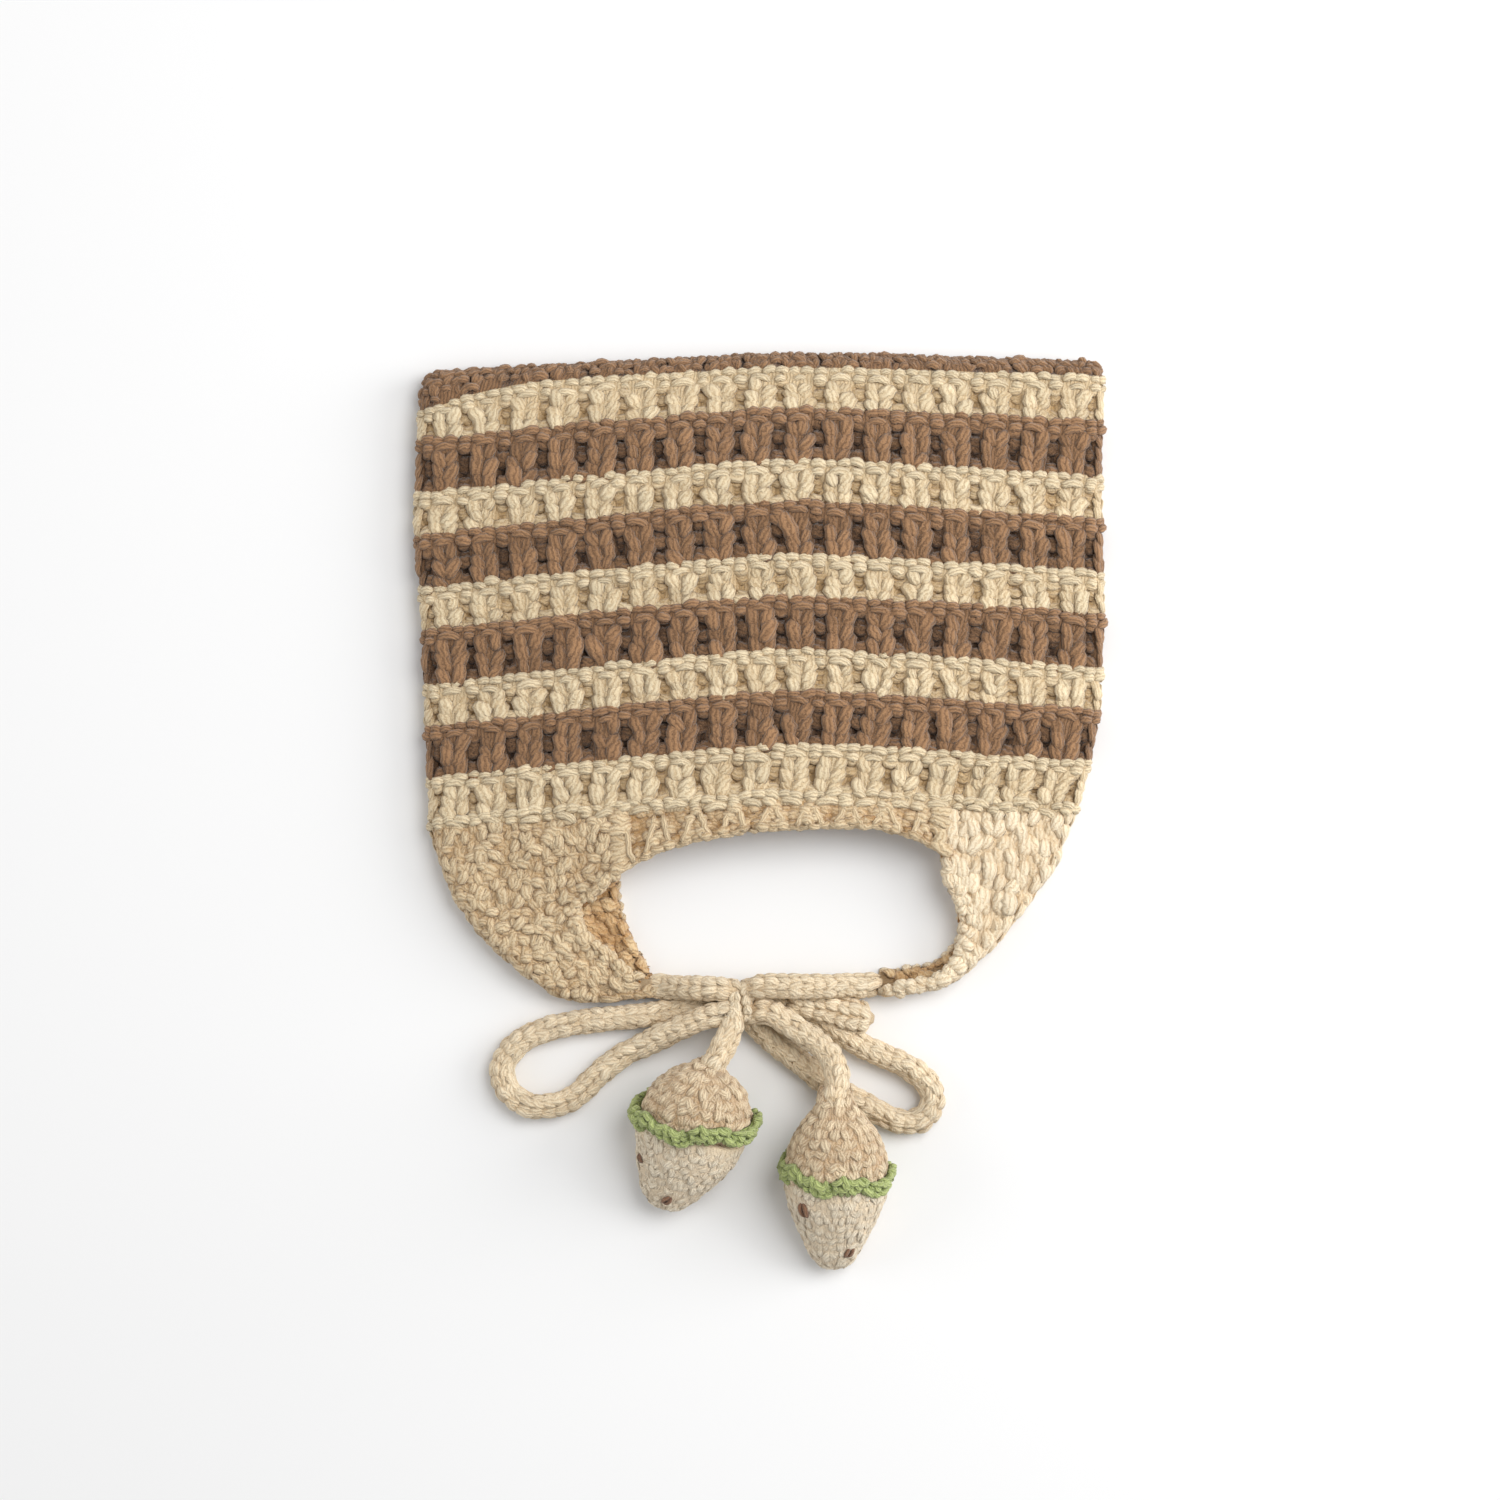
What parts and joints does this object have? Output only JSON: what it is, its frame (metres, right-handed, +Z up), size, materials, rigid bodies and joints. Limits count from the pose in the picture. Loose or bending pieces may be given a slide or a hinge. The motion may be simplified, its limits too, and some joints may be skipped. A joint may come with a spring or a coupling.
{
  "type": "cat ear beanie",
  "caption": "Striped ribbed knit cap with square cat ear corners, folded ear flaps and tie cords knotted in a bow with crocheted strawberry ends, lying flat.",
  "frame": {"origin": "middle of the hat's footprint on the surface it lies on, cords left out", "axes": "+Z up from the surface, through the front panel; +Y from the mouth to the ears; +X across the hat, to the right as seen from above with the ears up"},
  "size_m": [0.2181, 0.2862, 0.0326],
  "materials": {
    "striped_knit": "chunky wool rib in brown and cream stripes",
    "cream_knit": "cream wool in moss stitch",
    "cream_cord": "knitted wool cord",
    "cream_crochet": "dense felted wool crochet",
    "green_crochet": "green wool crochet"
  },
  "bodies": {
    "root": {"crown": "striped_knit", "front_brim": "cream_knit", "back_brim": "cream_knit", "left_ear_flap": "cream_knit", "right_ear_flap": "cream_knit", "left_tie": "cream_cord", "right_tie": "cream_cord", "left_bow_loop": "cream_cord", "right_bow_loop": "cream_cord", "left_tie_end": "cream_cord", "right_tie_end": "cream_cord", "bow_knot": "cream_cord", "left_berry_dome": "cream_crochet", "left_berry_body": "cream_crochet", "left_berry_rim": "green_crochet", "right_berry_dome": "cream_crochet", "right_berry_body": "cream_crochet", "right_berry_rim": "green_crochet"}
  },
  "joints": []
}
